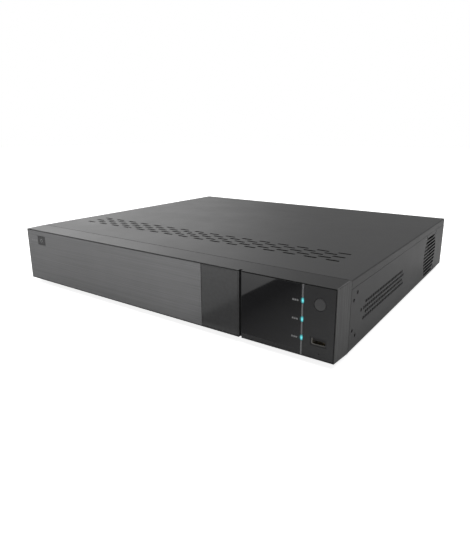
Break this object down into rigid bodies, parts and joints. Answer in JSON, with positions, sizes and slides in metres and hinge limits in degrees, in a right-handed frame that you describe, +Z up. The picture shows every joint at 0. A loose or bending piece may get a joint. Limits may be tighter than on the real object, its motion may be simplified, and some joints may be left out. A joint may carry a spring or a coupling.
{
  "type": "digital video recorder",
  "caption": "Rack-width surveillance video recorder: dark steel case with vents, brushed and gloss front, lit status lamps, USB socket, side fan, disks and rear sockets.",
  "frame": {"origin": "on the resting plane, under the middle of the whole object's box", "axes": "+X right seen from the front, +Y towards the rear panel, +Z up; the front face looks along -Y"},
  "size_m": [0.44, 0.399, 0.074],
  "materials": {
    "painted_steel": "fine satin powder coat",
    "bare_steel": "zinc plated",
    "cast_aluminium": "machined and cast",
    "nickel": "nickel plated barrels",
    "bezel_plastic": "fine satin",
    "brushed_panel": "dark brushed, horizontal grain",
    "gloss_black": "mirror gloss",
    "satin_black": "soft gloss",
    "button_grey": "satin",
    "guide_clear": "smoked clear",
    "lamp": "lit cyan",
    "black_plastic": "moulded",
    "circuit_board": "solder mask",
    "supply_parts": "board with varnished parts",
    "socket_blue": "moulded",
    "terminal_green": "moulded",
    "foot_rubber": "matt",
    "lead_red": "sheath",
    "lead_black": "sheath",
    "lead_yellow": "sheath",
    "ribbon_grey": "flat ribbon"
  },
  "bodies": {
    "chassis": {"base_tray": "painted_steel", "rear_panel": "painted_steel", "drive_bracket": "bare_steel", "spare_drive_bracket": "bare_steel", "supply_frame": "bare_steel", "front_usb_socket": "bare_steel", "hdmi_socket": "bare_steel", "network_socket": "bare_steel", "rear_usb_socket": "bare_steel", "coin_cell": "bare_steel", "ground_screw": "bare_steel", "fan_screw_1": "bare_steel", "fan_screw_2": "bare_steel", "fan_screw_3": "bare_steel", "fan_screw_4": "bare_steel", "hard_disk_1": "cast_aluminium", "hard_disk_2": "cast_aluminium", "heat_sink": "cast_aluminium", "video_block_1": "nickel", "video_block_2": "nickel", "video_block_3": "nickel", "video_block_4": "nickel", "front_bezel": "bezel_plastic", "brushed_fascia": "brushed_panel", "gloss_strip": "gloss_black", "display_window": "gloss_black", "control_panel": "satin_black", "light_guide": "guide_clear", "status_lens_1": "lamp", "status_lens_2": "lamp", "status_lens_3": "lamp", "badge_plate": "black_plastic", "front_usb_tongue": "black_plastic", "mains_inlet": "black_plastic", "rocker_housing": "black_plastic", "audio_socket": "black_plastic", "fan_frame": "black_plastic", "main_board": "circuit_board", "front_board": "circuit_board", "supply_board": "supply_parts", "vga_socket": "socket_blue", "terminal_block": "terminal_green", "foot_1": "foot_rubber", "foot_2": "foot_rubber", "foot_3": "foot_rubber", "foot_4": "foot_rubber", "disk_data_lead_1": "lead_red", "disk_data_lead_2": "lead_red", "fan_lead": "lead_red", "disk_power_lead": "lead_black", "board_power_lead": "lead_yellow", "front_ribbon": "ribbon_grey"},
    "cover": {"top_cover": "painted_steel", "cover_skirt": "painted_steel", "cover_screw_1": "bare_steel", "cover_screw_2": "bare_steel", "cover_screw_3": "bare_steel"},
    "fan_wheel": {"fan_rotor": "black_plastic"},
    "rocker": {"rocker_key": "black_plastic"},
    "button": {"power_button": "button_grey"}
  },
  "joints": [
    {"name": "cover_lift", "type": "slide", "parent": "chassis", "child": "cover", "axis": [0, 0, 1], "range_m": [0, 0.09]},
    {"name": "fan_spin", "type": "hinge", "parent": "chassis", "child": "fan_wheel", "pos_m": [0.209, 0.112, 0.0373], "axis": [1, 0, 0], "continuous": true},
    {"name": "rocker_turn", "type": "hinge", "parent": "chassis", "child": "rocker", "pos_m": [-0.152, 0.1875, 0.029], "axis": [1, 0, 0], "range_deg": [0, 15]},
    {"name": "button_press", "type": "slide", "parent": "chassis", "child": "button", "axis": [0, 1, 0], "range_m": [0, 0.001], "stiffness_N_per_m": 1000, "springref_m": -0.0005}
  ]
}
